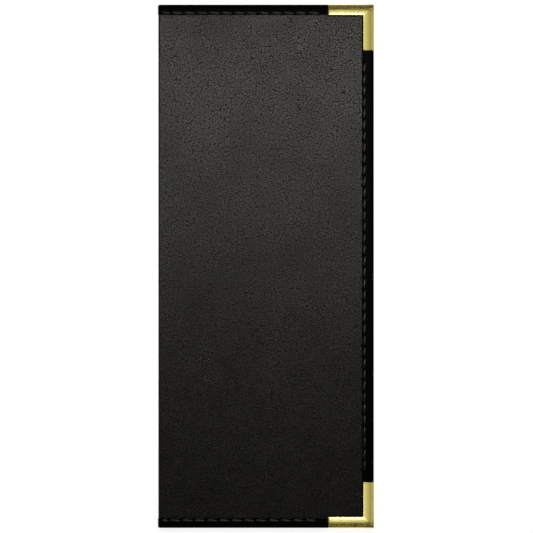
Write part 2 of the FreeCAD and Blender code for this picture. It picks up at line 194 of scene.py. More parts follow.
class Tree:
    """Adds nodes to one node tree and joins them."""

    def __init__(self, tree):
        self.tree = tree

    def add(self, kind, props=None, **inputs):
        """A node with its properties, and its inputs set to values or joined to sockets."""
        made = self.tree.nodes.new(kind)
        for name, value in (props or {}).items():
            setattr(made, name, value)
        for name, value in inputs.items():
            key = int(name[1:]) if name[0] == "_" else name.replace("_", " ")
            self.feed(made.inputs[key], value)
        return made

    def feed(self, socket, value):
        """Sets a socket, or joins it to another."""
        if isinstance(value, bpy.types.NodeSocket):
            self.tree.links.new(value, socket)
        else:
            socket.default_value = value

    def math(self, operation, a, b=0.0, clamp=False):
        """A math node's result."""
        made = self.add("ShaderNodeMath", {"operation": operation, "use_clamp": clamp}, _0=a, _1=b)
        return made.outputs[0]

    def vector(self, operation, a, b=(0, 0, 0), scale=None):
        """A vector math node."""
        made = self.add("ShaderNodeVectorMath", {"operation": operation}, _0=a, _1=b)
        if scale is not None:
            self.feed(made.inputs["Scale"], scale)
        return made.outputs[1 if operation in ("LENGTH", "DOT_PRODUCT", "DISTANCE") else 0]

    def noise(self, vector, scale, detail=2.0, rough=0.5, distortion=0.0):
        """A noise texture's value."""
        made = self.add(
            "ShaderNodeTexNoise",
            Vector=vector, Scale=scale, Detail=detail, Roughness=rough, Distortion=distortion,
        )
        return made.outputs["Fac"]

    def between(self, value, low, high, to_low=0.0, to_high=1.0):
        """A value mapped smoothly from one range to another."""
        made = self.add(
            "ShaderNodeMapRange", {"interpolation_type": "SMOOTHSTEP"},
            _0=value, _1=low, _2=high, _3=to_low, _4=to_high,
        )
        return made.outputs[0]

    def mix(self, factor, a, b):
        """Two colours mixed."""
        made = self.add("ShaderNodeMix", {"data_type": "RGBA"})
        for key, value in ((0, factor), (6, a), (7, b)):
            self.feed(made.inputs[key], value)
        return made.outputs[2]

    def group(self, tree, **inputs):
        """One of the shared node groups."""
        return self.add("ShaderNodeGroup", {"node_tree": tree}, **inputs)


def rgb(red, green, blue):
    """A colour with full alpha."""
    return (red, green, blue, 1.0)


def start_group(name, inputs, outputs):
    """A shader node group with named sockets: its tree helper, input sockets and output node."""
    tree = bpy.data.node_groups.new(name, "ShaderNodeTree")
    for socket, kind, value in inputs:
        made = tree.interface.new_socket(socket, in_out="INPUT", socket_type=f"NodeSocket{kind}")
        if value is not None:
            made.default_value = value
    for socket, kind in outputs:
        tree.interface.new_socket(socket, in_out="OUTPUT", socket_type=f"NodeSocket{kind}")
    t = Tree(tree)
    return t, t.add("NodeGroupInput").outputs, t.add("NodeGroupOutput")


def start_material(name):
    """A material: its tree helper, its shader and the object's coordinates in millimetres."""
    material = bpy.data.materials.new(name)
    material.use_nodes = True
    material.node_tree.nodes.clear()
    t = Tree(material.node_tree)
    shader = t.add("ShaderNodeBsdfPrincipled")
    t.add("ShaderNodeOutputMaterial", Surface=shader.outputs[0])
    place = t.vector("SCALE", t.add("ShaderNodeTexCoord").outputs["Object"], scale=1 / MM)
    return material, t, shader, place


def bump(t, height, distance, strength=1.0):
    """A bump node's normal, with its distance in millimetres."""
    return t.add("ShaderNodeBump", Height=height, Distance=distance * MM, Strength=strength).outputs[0]


# Shared effects


def make_pebbles():
    """Irregular pebbles with soft valleys between them, stronger in some patches than others."""
    t, given, out = start_group(
        "pebbles",
        [("Vector", "Vector", None), ("Cell", "Float", 1.5), ("Patch", "Float", 18.0)],
        [("Height", "Float"), ("Valley", "Float"), ("Patch", "Float")],
    )
    size = t.math("DIVIDE", 1.0, given["Cell"])
    wander = t.add("ShaderNodeTexNoise", Vector=given["Vector"], Scale=0.3, Detail=2.0)
    warped = t.vector("ADD", given["Vector"], t.vector("SCALE", wander.outputs["Color"], scale=2.0))
    layers = []
    for turn, stretch in ((0.6, 1.35), (-0.9, 1.25)):
        laid = t.add("ShaderNodeMapping", Vector=warped, Rotation=(0, 0, turn), Scale=(1, stretch, 1))
        cells = t.add(
            "ShaderNodeTexVoronoi", {"feature": "DISTANCE_TO_EDGE"},
            Vector=laid.outputs[0], Scale=size, Randomness=1.0,
        )
        domes = t.between(cells.outputs["Distance"], -0.1, 0.5)
        small = t.noise(laid.outputs[0], t.math("MULTIPLY", size, 0.9), 1.0, 0.5)
        layers.append(t.math("ADD", t.math("MULTIPLY", domes, 0.6), t.math("MULTIPLY", small, 1.2)))
    patch = t.noise(given["Vector"], t.math("DIVIDE", 1.0, given["Patch"]), 2.0, 0.6)
    choose = t.between(patch, 0.42, 0.58)
    both = t.add("ShaderNodeMix", {"data_type": "FLOAT"}, _0=choose, _2=layers[0], _3=layers[1])
    uneven = t.noise(given["Vector"], t.math("DIVIDE", 1.9, given["Patch"]), 2.0)
    height = t.math("MULTIPLY", both.outputs[0], t.between(uneven, 0.3, 0.7, 0.85, 1.15))
    t.feed(out.inputs["Height"], height)
    # Valley is 1 in the low ground between the pebbles; the materials paint it darker there, as painted shade.
    t.feed(out.inputs["Valley"], t.between(both.outputs[0], 1.1, 0.8))
    t.feed(out.inputs["Patch"], patch)
    return t.tree


def make_beads():
    """The shiny crowns of the grain: a mask that is 1 on each crown and 0 between them, fainter in
    some patches than others."""
    t, given, out = start_group(
        "beads",
        [("Vector", "Vector", None), ("Cell", "Float", 2.0), ("Patch", "Float", 18.0)],
        [("Mask", "Float")],
    )
    wander = t.add("ShaderNodeTexNoise", Vector=given["Vector"], Scale=0.12, Detail=2.0)
    warped = t.vector("ADD", given["Vector"], t.vector("SCALE", wander.outputs["Color"], scale=5.0))
    parts = t.add("ShaderNodeSeparateXYZ", Vector=warped).outputs
    flat = t.add("ShaderNodeCombineXYZ", X=t.math("ADD", parts["X"], parts["Z"]), Y=parts["Y"]).outputs[0]
    cells = t.add(
        "ShaderNodeTexVoronoi", {"feature": "F1", "voronoi_dimensions": "2D"},
        Vector=t.vector("MULTIPLY", flat, (1.12, 0.9, 1.0)),
        Scale=t.math("DIVIDE", 1.0, given["Cell"]), Randomness=0.7,
    )
    crown = t.between(cells.outputs["Distance"], 0.65, 0.1)
    patch = t.noise(given["Vector"], t.math("DIVIDE", 1.0, given["Patch"]), 2.0, 0.6)
    faint = t.between(patch, 0.35, 0.65, 0.6, 1.0)
    level = t.math("MULTIPLY", t.math("SUBTRACT", crown, 0.5), faint)
    lift = t.math("MULTIPLY", t.math("SUBTRACT", patch, 0.5), 0.6)
    t.feed(out.inputs["Mask"], t.math("ADD", t.math("ADD", level, 0.5), lift, clamp=True))
    return t.tree


def make_crease():
    """One wandering crease between two points, as a soft valley."""
    t, given, out = start_group(
        "crease",
        [
            ("Vector", "Vector", None),
            ("Start", "Vector", None),
            ("End", "Vector", None),
            ("Width", "Float", 0.6),
            ("Wander", "Float", 2.0),
        ],
        [("Depth", "Float")],
    )
    sway = t.add("ShaderNodeTexNoise", Vector=given["Vector"], Scale=0.09, Detail=3.0)
    offset = t.vector("SUBTRACT", sway.outputs["Color"], (0.5, 0.5, 0.5))
    moved = t.vector("ADD", given["Vector"], t.vector("SCALE", offset, scale=given["Wander"]))
    flat = t.vector("MULTIPLY", moved, (1, 1, 0))
    along = t.vector("SUBTRACT", given["End"], given["Start"])
    rel = t.vector("SUBTRACT", flat, given["Start"])
    length = t.vector("DOT_PRODUCT", along, along)
    share = t.math("DIVIDE", t.vector("DOT_PRODUCT", rel, along), length, clamp=True)
    foot = t.vector("SCALE", along, scale=share)
    away = t.vector("DISTANCE", rel, foot)
    taper = t.math("MULTIPLY", t.between(share, 0.0, 0.3), t.between(share, 1.0, 0.6))
    valley = t.between(t.math("DIVIDE", away, given["Width"]), 1.0, 0.0)
    t.feed(out.inputs["Depth"], t.math("MULTIPLY", valley, taper))
    return t.tree


def make_scratches():
    """Fine straight scratches in two directions, and small specks."""
    t, given, out = start_group(
        "scratches",
        [("Vector", "Vector", None), ("Amount", "Float", 0.5)],
        [("Mask", "Float"), ("Specks", "Float")],
    )
    marks = []
    for turn in (0.35, 1.9):
        laid = t.add("ShaderNodeMapping", Vector=given["Vector"], Rotation=(0, 0, turn), Scale=(6, 0.35, 1))
        marks.append(t.between(t.noise(laid.outputs[0], 1.0, 3.0, 0.7), 0.56, 0.7))
    both = t.math("MAXIMUM", marks[0], marks[1])
    t.feed(out.inputs["Mask"], t.math("MULTIPLY", both, given["Amount"]))
    t.feed(out.inputs["Specks"], t.between(t.noise(given["Vector"], 1.7, 4.0, 0.75), 0.58, 0.72))
    return t.tree


PEBBLES = make_pebbles()
BEADS = make_beads()
CREASE = make_crease()
SCRATCHES = make_scratches()


# Materials


# Creases of the front leatherette: start, end, width and wander, seen from above
CREASES = [
    ((-48, 62), (-18, 96), 0.7, 4.0),
    ((-40, 88), (-22, 110), 0.55, 3.0),
    ((4, 44), (22, 40), 0.7, 2.0),
    ((-6, 92), (8, 104), 0.5, 3.0),
    ((20, 78), (30, 96), 0.5, 3.0),
    ((-52, 20), (-24, 26), 0.6, 3.0),
    ((-50, -6), (-20, 0), 0.5, 4.0),
    ((18, -60), (40, -28), 0.6, 4.0),
    ((28, -88), (44, -58), 0.5, 3.0),
    ((-6, -112), (-2, -84), 0.5, 3.0),
    ((-30, -70), (-14, -52), 0.5, 3.0),
]


def make_leatherette():
    """Black leatherette: satin, with a fine pebble grain whose valleys are painted darker as painted shade, and a few
    creases.
    """
    material, t, shader, place = start_material("black_leatherette")
    fine = t.group(PEBBLES, Vector=place, Cell=1.15, Patch=18.0)
    height = fine.outputs["Height"]
    for start, end, width, wander in CREASES:
        line = t.group(CREASE, Vector=place, Start=(*start, 0), End=(*end, 0), Width=width, Wander=wander)
        height = t.math("SUBTRACT", height, t.math("MULTIPLY", line.outputs["Depth"], 0.55))
    slow = t.noise(place, 1 / 55, 2.0)
    lift = t.math("MULTIPLY", t.math("SUBTRACT", slow, 0.5), 0.9)
    # Painted shade: the base colour is darker in the grain's valleys and lighter on its crowns.
    t.feed(shader.inputs["Base Color"], t.mix(fine.outputs["Valley"], rgb(0.0165, 0.0155, 0.014), rgb(0.005, 0.0047, 0.0042)))
    t.feed(shader.inputs["Roughness"], t.between(fine.outputs["Patch"], 0.3, 0.7, 0.32, 0.35))
    t.feed(shader.inputs["Normal"], bump(t, t.math("ADD", height, lift), 0.12))
    crowns = t.group(BEADS, Vector=place, Cell=0.95, Patch=30.0)
    t.feed(shader.inputs["Coat Weight"], t.between(crowns.outputs["Mask"], 0.0, 1.0, 0.05, 0.74))
    shader.inputs["Coat Roughness"].default_value = 0.34
    shader.inputs["Specular IOR Level"].default_value = 0.1
    shader.inputs["Specular Tint"].default_value = rgb(1.0, 0.96, 0.9)
    return material


def make_tape():
    """Smooth black edge tape with a very fine grain, its valleys painted darker as painted shade."""
    material, t, shader, place = start_material("black_edge_tape")
    fine = t.group(PEBBLES, Vector=place, Cell=0.6, Patch=14.0)
    # Painted shade: the base colour is darker in the grain's valleys.
    t.feed(shader.inputs["Base Color"], t.mix(fine.outputs["Valley"], rgb(0.0014, 0.0014, 0.0014), rgb(0.0006, 0.0006, 0.0006)))
    t.feed(shader.inputs["Roughness"], t.between(fine.outputs["Patch"], 0.3, 0.7, 0.42, 0.52))
    t.feed(shader.inputs["Normal"], bump(t, fine.outputs["Height"], 0.012))
    shader.inputs["Specular IOR Level"].default_value = 0.03
    return material


def make_thread():
    """Black bonded thread with its twist."""
    material, t, shader, place = start_material("black_thread")
    twist = t.add(
        "ShaderNodeTexWave", {"wave_type": "BANDS", "bands_direction": "DIAGONAL"},
        Vector=place, Scale=0.8, Distortion=0.6,
    )
    t.feed(shader.inputs["Base Color"], t.mix(twist.outputs["Fac"], rgb(0.004, 0.004, 0.004), rgb(0.012, 0.012, 0.012)))
    t.feed(shader.inputs["Roughness"], t.between(twist.outputs["Fac"], 0.0, 1.0, 0.45, 0.3))
    t.feed(shader.inputs["Normal"], bump(t, twist.outputs["Fac"], 0.025))
    shader.inputs["Specular IOR Level"].default_value = 0.5
    return material


def make_brass():
    """Pressed brass sheet, polished, with patina in its dents and along its mitre, and painted dark reflection in
    stripes along its legs.
    """
    material, t, shader, place = start_material("antique_brass")
    marks = t.group(SCRATCHES, Vector=place, Amount=0.5)
    tarnish_and_painted_reflection = t.add("ShaderNodeAttribute", {"attribute_name": "tarnish_and_painted_reflection"}).outputs["Fac"]
    cloud = t.noise(place, 0.35, 4.0, 0.6)
    blots = t.noise(t.vector("MULTIPLY", place, (0.5, 1.2, 1.0)), 1.1, 5.0, 0.7)
    # The vertex mask holds real patina in the crimp, along the mitre and near the point, and painted dark reflection
    # along the legs; both mix in the dark brown below and make the brass rougher.
    stained_and_painted_reflection = t.math("MULTIPLY", tarnish_and_painted_reflection, t.between(blots, 0.45, 0.58, 0.1, 1.0))
    dull = t.math("MAXIMUM", stained_and_painted_reflection, t.math("MULTIPLY", marks.outputs["Specks"], 0.35))
    clean = t.mix(cloud, rgb(0.88, 0.75, 0.23), rgb(0.83, 0.71, 0.21))
    t.feed(shader.inputs["Base Color"], t.mix(dull, clean, rgb(0.11, 0.065, 0.028)))
    roughness = t.math("ADD", t.math("MULTIPLY", dull, 0.2), t.math("MULTIPLY", marks.outputs["Mask"], 0.12))
    roughness = t.math("ADD", roughness, 0.11)
    t.feed(shader.inputs["Roughness"], roughness)
    relief = t.math("ADD", t.math("MULTIPLY", marks.outputs["Mask"], -0.4), cloud)
    t.feed(shader.inputs["Normal"], bump(t, relief, 0.02))
    shader.inputs["Metallic"].default_value = 1.0
    return material


def make_lining():
    """Black lining cloth with a plain weave."""
    material, t, shader, place = start_material("lining_cloth")
    threads = []
    for direction in ("X", "Y"):
        wave = t.add(
            "ShaderNodeTexWave", {"wave_type": "BANDS", "bands_direction": direction},
            Vector=place, Scale=0.75, Distortion=0.8, Detail_Scale=1.5,
        )
        threads.append(wave.outputs["Fac"])
    weave = t.math("MULTIPLY", threads[0], threads[1])
    slub = t.noise(place, 0.8, 3.0)
    t.feed(shader.inputs["Base Color"], t.mix(t.math("MULTIPLY", weave, slub), rgb(0.006, 0.006, 0.007), rgb(0.03, 0.03, 0.032)))
    t.feed(shader.inputs["Normal"], bump(t, weave, 0.06))
    shader.inputs["Roughness"].default_value = 0.8
    shader.inputs["Specular IOR Level"].default_value = 0.25
    return material


def make_film():
    """Clear soft vinyl sheet: see-through, glossy, with faint scuffs."""
    material, t, shader, place = start_material("clear_film")
    marks = t.group(SCRATCHES, Vector=place, Amount=1.0)
    t.feed(shader.inputs["Roughness"], t.between(marks.outputs["Mask"], 0.0, 1.0, 0.12, 0.4))
    t.feed(shader.inputs["Alpha"], t.between(marks.outputs["Mask"], 0.0, 1.0, 0.16, 0.3))
    t.feed(shader.inputs["Base Color"], t.mix(marks.outputs["Specks"], rgb(0.62, 0.65, 0.67), rgb(0.72, 0.74, 0.75)))
    t.feed(shader.inputs["Normal"], bump(t, t.noise(place, 1 / 18, 2.0), 0.5))
    return material


def make_greyboard():
    """Dense grey board with short fibres."""
    material, t, shader, place = start_material("grey_board")
    laid = t.add("ShaderNodeMapping", Vector=place, Scale=(1, 0.3, 1))
    fibres = t.noise(laid.outputs[0], 2.2, 4.0, 0.7)
    t.feed(shader.inputs["Base Color"], t.mix(fibres, rgb(0.3, 0.285, 0.26), rgb(0.5, 0.48, 0.44)))
    t.feed(shader.inputs["Normal"], bump(t, fibres, 0.04))
    shader.inputs["Roughness"].default_value = 0.85
    return material


LEATHERETTE = make_leatherette()
TAPE = make_tape()
THREAD = make_thread()
BRASS = make_brass()
LINING = make_lining()
FILM = make_film()
GREYBOARD = make_greyboard()


# Sections


def arc_points(radius_in, radius_deep, count, first=0.0, last=90.0):
    """Points of a quarter ellipse that rolls over an edge at the section's origin, from flat to upright."""
    turns = [math.radians(first + (last - first) * k / count) for k in range(count + 1)]
    return [(radius_in * (1 - math.sin(a)), radius_deep * (1 - math.cos(a))) for a in turns]


def roll_depth(inward, reach, half):
    """Depth of the quarter ellipse that rolls over an edge, at a distance in from the outline."""
    return half * (1 - math.sqrt(1 - (max(0, reach - inward) / reach) ** 2))


def outer_tape_section(width, stitch):
    """The outer half of the folded tape, from its cut edge to the middle of the fold."""
    half = TAPE_DEPTH / 2
    furrow = {0.75: 0.0, 0.5: 0.05, 0.25: 0.14, 0.0: 0.18, -0.25: 0.14, -0.5: 0.05, -0.75: 0.0}
    spots = [(stitch + side, deep) for side, deep in furrow.items()]
    low = stitch - 1.0
    spots += [(low * (1 - math.sin(math.pi / 2 * k / 14)), 0.0) for k in range(15)]
    outside = [(width, 0.2), (width - 0.03, 0.08), (width - 0.14, 0.01)]
    outside += [(inward, roll_depth(inward, TAPE_ROLL, half) + deep) for inward, deep in spots]
    inner = arc_points(TAPE_ROLL - TAPE_THICKNESS, half - TAPE_THICKNESS, 6)
    inside = [(inward + TAPE_THICKNESS, deep + TAPE_THICKNESS) for inward, deep in reversed(inner)]
    return outside + inside + [(width, TAPE_THICKNESS)]


def brass_section(width, depth):
    """A crowned channel that rolls over the edge of the cover."""
    reach, half = width + BRASS_CROWN, depth / 2
    turns = [math.asin(BRASS_CROWN / reach) + k / 22 * (math.pi / 2 - math.asin(BRASS_CROWN / reach)) for k in range(23)]
    crown = [(reach * (1 - math.sin(turn)), half * (1 - math.cos(turn))) for turn in turns]
    top = crown[0][1]
    upper = [(width, 0.34), (width, top + 0.06), (width - 0.02, top + 0.02)] + crown[1:]
    lower = [(inward, depth - deep) for inward, deep in reversed(upper[:-1])]
    wall = arc_points(width - BRASS_THICKNESS, half - BRASS_THICKNESS, 7)
    inside = [(inward + BRASS_THICKNESS, deep + BRASS_THICKNESS) for inward, deep in wall]
    inside_low = [(inward, depth - deep) for inward, deep in inside[:-1]]
    return upper + lower + inside_low + inside[::-1]


# The legs of the tape, each as (outward direction, edge distance, width, stitch inset)

TAPE_WIDTHS = {
    "head": TAPE_HIGH.y - WINDOW_HEAD,
    "fore": TAPE_HIGH.x - WINDOW_FORE,
    "foot": WINDOW_FOOT - TAPE_LOW.y,
}
SIDES = {"head": 1, "foot": -1}


def tucked(place, width):
    """A tape station drawn in all round, where the brass grips it."""
    half = TAPE_DEPTH / 2
    shrink = Matrix.Diagonal((1 - TUCK / width, 1, 1 - TUCK / half, 1))
    return place @ Matrix.Translation((TUCK, 0, TUCK)) @ shrink


def mitre_station(side, leg):
    """The station in the mitre plane of the tape at the head or foot, for a leg's own section."""
    sign = SIDES[side]
    origin = Vector((TAPE_HIGH.x, sign * TAPE_HIGH.y, TAPE_LOW.z))
    inward = Vector((-TAPE_WIDTHS["fore"], -sign * TAPE_WIDTHS[side], 0)) / TAPE_WIDTHS[leg]
    return tucked(station(origin, inward, UP_Z), TAPE_WIDTHS[leg])


def gripped(grip, free, place_at, width):
    """The two stations between which the tape slips under the brass, from the brass outwards."""
    step = math.copysign(0.5, free - grip)
    return [tucked(place_at(grip - step), width), place_at(grip - 0.4 * step)]


def tape_spots(side, start_x, step):
    """Stations of the head or foot tape on the panel, from its start to the mitre."""
    sign = SIDES[side]

    def place_at(x):
        return station(Vector((x, sign * TAPE_HIGH.y, TAPE_LOW.z)), -sign * UP_Y, UP_Z)

    grip = gripped(BRASS_LOW.x, start_x, place_at, TAPE_WIDTHS[side])
    return path(place_at(start_x), *reversed(grip), mitre_station(side, side), step=step)


def crease_spots(side):
    """Stations of the head or foot tape from the middle of the spine round the crease."""
    sign = SIDES[side]
    inward = -sign * UP_Y
    thinner = SPINE_TAPE_DEPTH / TAPE_DEPTH
    edge = sign * TAPE_HIGH.y
    turns = [math.radians(90 * k / 10) for k in range(11)]
    top = Vector((SPINE_TAPE_LOW.x, edge, MIDDLE))
    radius = CREASE_RADIUS + TAPE_PROUD
    round_crease = []
    for turn in turns:
        depth = Vector((math.cos(turn), 0, math.sin(turn)))
        origin = CREASE_CENTRE - depth * radius + UP_Y * edge
        scale = thinner + (1 - thinner) * smoothstep(0.8, 1.0, turn / turns[-1])
        round_crease.append(station(origin, inward, depth * scale))
    up_spine = run(station(top, inward, UP_X * thinner), round_crease[0], 0.8)
    return up_spine[:-1] + round_crease[:-1]


def square_spine(bm):
    """Draws the tape's roll tight where it passes round the spine, so that its corners are square."""
    thinner = SPINE_TAPE_DEPTH / TAPE_DEPTH
    half = TAPE_DEPTH / 2
    for vert in bm.verts:
        outwards = CREASE_CENTRE - Vector((vert.co.x, 0, vert.co.z))
        if vert.co.x > CREASE_END + 1 or outwards.x < 0.2:
            continue
        turn = math.atan2(max(0, outwards.z), outwards.x)
        inward = TAPE_HIGH.y - abs(vert.co.y)
        soft = roll_depth(inward, TAPE_ROLL, half)
        tight = roll_depth(inward, SPINE_ROLL, half)
        vert.co.x -= thinner * (soft - tight) * smoothstep(1.2, 0.2, turn)


def fore_spots(step):
    """Stations of the fore-edge tape, from the head mitre to the foot mitre."""

    def place_at(y):
        return station(Vector((TAPE_HIGH.x, y, TAPE_LOW.z)), -UP_X, UP_Z)

    width = TAPE_WIDTHS["fore"]
    head = [mitre_station("head", "fore"), tucked(place_at(TAPE_HIGH.y - TAPE_WIDTHS["head"]), width)]
    head += gripped(BRASS_LOW.y, 0, place_at, width)
    foot = [mitre_station("foot", "fore"), tucked(place_at(TAPE_LOW.y + TAPE_WIDTHS["foot"]), width)]
    foot += gripped(FOOT_BRASS_HIGH.y, 0, place_at, width)
    return path(*head, *reversed(foot), step=step)


def row_of_holes(row):
    """Places of the needle holes along a head or foot row."""
    holes = [row["first"], row["next"]]
    while holes[-1] + row["pitch"] < row["last"]:
        holes.append(holes[-1] + row["pitch"])
    return holes


def fore_holes():
    """Places of the needle holes along the fore-edge, between the corners."""
    count = int((FORE_STITCH["end"] + abs(FORE_STITCH["hole"])) / FORE_STITCH["pitch"])
    places = [FORE_STITCH["hole"] + k * FORE_STITCH["pitch"] for k in range(-count, count + 1)]
    return [y for y in places if abs(y) < FORE_STITCH["end"]]


def stitch_lines():
    """Every row of the panel: points of its needle holes, in the plane of the panel."""
    return {
        "head": [Vector((x, TAPE_HIGH.y - HEAD_STITCH["inset"], 0)) for x in row_of_holes(HEAD_STITCH)],
        "foot": [Vector((x, TAPE_LOW.y + FOOT_STITCH["inset"], 0)) for x in row_of_holes(FOOT_STITCH)],
        "fore": [Vector((TAPE_HIGH.x - FORE_STITCH["inset"], y, 0)) for y in reversed(fore_holes())],
    }


ROWS = stitch_lines()


INWARDS = {"head": -UP_Y, "foot": UP_Y, "fore": -UP_X}


def press_holes(bm, side):
    """Presses a needle hole into the tape at each end of each stitch of a row, and draws the cut edge
    of the tape in between the holes, where the thread pulls on it."""
    inward = INWARDS[side]
    along = inward.cross(UP_Z)
    for vert in bm.verts:
        if abs(vert.co.z - TAPE_LOW.z) > HOLE_RADIUS:
            continue
        flat = Vector((vert.co.x, vert.co.y, 0))
        hole = min(ROWS[side], key=lambda spot: (flat - spot).length_squared)
        away = flat - hole
        if away.length < HOLE_RADIUS:
            vert.co.z += HOLE_DEPTH * (1 - (away.length / HOLE_RADIUS) ** 2) ** 2
        past = away.dot(inward)
        if past > 0.45 and away.length < 5:
            phase = math.cos(math.tau * (away.dot(along) - past * 0.8) / STITCHES[side]["pitch"])
            pull = ((1 + phase) / 2) ** 4 - 0.25
            vert.co += inward * SCALLOP * pull * smoothstep(0.45, 0.75, past)


def join(target, source):
    """Adds one mesh to another."""
    loose = bpy.data.meshes.new("loose")
    source.to_mesh(loose)
    source.free()
    target.from_mesh(loose)
    bpy.data.meshes.remove(loose)


STEP = 0.55
STITCHES = {"head": HEAD_STITCH, "foot": FOOT_STITCH, "fore": FORE_STITCH}


def tape_leg(side, stations):
    """One leg of tape with its needle holes."""
    bm = bmesh.new()
    sweep(bm, outer_tape_section(TAPE_WIDTHS[side], STITCHES[side]["inset"]), stations)
    press_holes(bm, side)
    return bm


def outer_tape():
    """The outer half of the tape: round the spine, the head, the fore-edge and the foot."""
    bm = bmesh.new()
    for side in SIDES:
        leg = tape_leg(side, crease_spots(side) + tape_spots(side, CREASE_END, STEP))
        square_spine(leg)
        join(bm, leg)
    join(bm, tape_leg("fore", fore_spots(STEP)))
    return bm


def inner_tape():
    """The inner half of the tape on the panel: the outer half turned over."""
    bm = bmesh.new()
    for side in SIDES:
        join(bm, tape_leg(side, tape_spots(side, PANEL_START, STEP)))
    join(bm, tape_leg("fore", fore_spots(STEP)))
    bmesh.ops.scale(bm, vec=(1, 1, -1), verts=bm.verts)
    bmesh.ops.translate(bm, vec=(0, 0, TAPE_LOW.z + TAPE_HIGH.z), verts=bm.verts)
    return bm


def spine_inner_tape():
    """The tape on the inside of the spine, at the head and the foot."""
    bm = bmesh.new()
    thinner = SPINE_TAPE_DEPTH / TAPE_DEPTH
    for side, sign in SIDES.items():
        ends = [
            station(Vector((SPINE_TAPE_HIGH.x, sign * TAPE_HIGH.y, z)), -sign * UP_Y, -UP_X * thinner)
            for z in (SPINE_INNER_LOW, 2 * MIDDLE - SPINE_INNER_LOW)
        ]
        sweep(bm, outer_tape_section(TAPE_WIDTHS[side], STITCHES[side]["inset"]), run(*ends, 0.5))
    return bm


SPINE_INNER_LOW = SKIN_HIGH.z + LINING_THICKNESS + 0.3


def outer_skin():
    """The leatherette: flat on the panel, pressed under the tape, round the crease to mid-spine."""
    bm = bmesh.new()
    step = 1.5
    flat = []
    x = WINDOW_FORE - 1.6
    while x > CREASE_END:
        flat.append(x)
        x -= step
    end = SKIN_HIGH.x - SKIN_TUCK
    edge_detail = [end, WINDOW_FORE + 0.35]
    edge_detail += [WINDOW_FORE + off for off in (0.15, 0.0, -0.1, -0.2, -0.3, -0.45)]
    outer = [(x, SKIN_LOW.z, UP_Z) for x in edge_detail + flat]
    for k in range(13):
        turn = math.radians(90 - 90 * k / 12)
        inward = Vector((math.cos(turn), 0, math.sin(turn)))
        spot = CREASE_CENTRE - inward * CREASE_RADIUS
        outer.append((spot.x, spot.z, inward))
    outer += [(SPINE_SKIN_LOW.x, z, UP_X) for z in (2.2, 2.8, 3.4, MIDDLE)]
    inner_radius = CREASE_RADIUS - SKIN_THICKNESS
    inner = [(SPINE_SKIN_LOW.x + SKIN_THICKNESS, z) for z in (MIDDLE, 2.8)]
    for k in range(7):
        turn = math.radians(90 * k / 6)
        spot = CREASE_CENTRE - Vector((math.cos(turn), 0, math.sin(turn))) * inner_radius
        inner.append((spot.x, spot.z))
    inner += [(x, SKIN_HIGH.z) for x in (-20, 20, end)]
    section = [(x, z) for x, z, _ in outer] + inner
    details = (-0.45, -0.3, -0.2, -0.1, 0.0, 0.15, 0.35)
    levels = [SKIN_LOW.y + SKIN_TUCK] + [WINDOW_FOOT - off for off in reversed(details)]
    y = WINDOW_FOOT + 1.6
    while y < WINDOW_HEAD - 1.6:
        levels.append(y)
        y += step
    levels += [WINDOW_HEAD + off for off in details] + [SKIN_HIGH.y - SKIN_TUCK]
    stations = [station(UP_Y * y, UP_X, UP_Z) for y in levels]
    rings = sweep(bm, section, stations)
    for ring in rings:
        for (x, z, inward), vert in zip(outer, ring):
            beyond = max(vert.co.x - WINDOW_FORE, vert.co.y - WINDOW_HEAD, WINDOW_FOOT - vert.co.y)
            sunk = PRESSED * smoothstep(-0.4, 0.1, beyond)
            wave = 0.015 * noise_at(vert.co, 19) * smoothstep(0, -6, beyond) * abs(inward.z)
            vert.co += inward * (sunk + wave)
    return bm


def sheet_of(levels, profile, thickness):
    """A sheet of cloth or film: a profile across the cover swept from foot to head, given thickness."""
    bm = bmesh.new()
    stations = [station(UP_Y * y, UP_X, UP_Z) for y in levels]
    sweep(bm, profile, stations, closed=False)
    bmesh.ops.recalc_face_normals(bm, faces=bm.faces)
    bmesh.ops.solidify(bm, geom=bm.faces, thickness=thickness)
    return bm


def panel_lining():
    """The lining on the inside of the board, turned down over the board's spine edge."""
    half = LINING_THICKNESS / 2
    low, high, left = SKIN_HIGH.z + LINING_THICKNESS, LINING_HIGH.z - half, PANEL_START + half
    corner = [(left + 0.3 * (1 - math.sin(a)), high - 0.3 * (1 - math.cos(a))) for a in (1.57, 1.05, 0.52, 0.0)]
    profile = [(left, low), (left, (low + high) / 2)] + corner + [(x, high) for x in (-50, -20, 10, 40, LINING_HIGH.x)]
    levels = [LINING_LOW.y + k * (LINING_HIGH.y - LINING_LOW.y) / 60 for k in range(61)]
    return sheet_of(levels, profile, half * 2)


def groove_lining():
    """Half of the strip that lines the spine: along the groove, round the spine board and up it."""
    half = LINING_THICKNESS / 2
    floor, shelf = SKIN_HIGH.z + half, SPINE_BOARD_LOW.z - half
    left, right = CREASE_END - 0.15, SPINE_BOARD_HIGH.x + half
    profile = [(PANEL_START + 0.1 - k * (PANEL_START - left + 0.1) / 6, floor) for k in range(7)]
    bend = (shelf - floor) / 2
    for k in range(1, 7):
        turn = math.pi * k / 6
        profile.append((left - bend * math.sin(turn), floor + bend * (1 - math.cos(turn))))
    profile += [(left + k * (right - 0.3 - left) / 3, shelf) for k in range(1, 4)]
    profile += [(right - 0.3 * (1 - math.sin(a)), shelf + 0.3 * (1 - math.cos(a))) for a in (0.52, 1.05, 1.57)]
    profile += [(right, z) for z in (2.6, 3.2, MIDDLE)]
    levels = [LINING_LOW.y + k * (LINING_HIGH.y - LINING_LOW.y) / 60 for k in range(61)]
    return sheet_of(levels, profile, LINING_THICKNESS * 0.8)


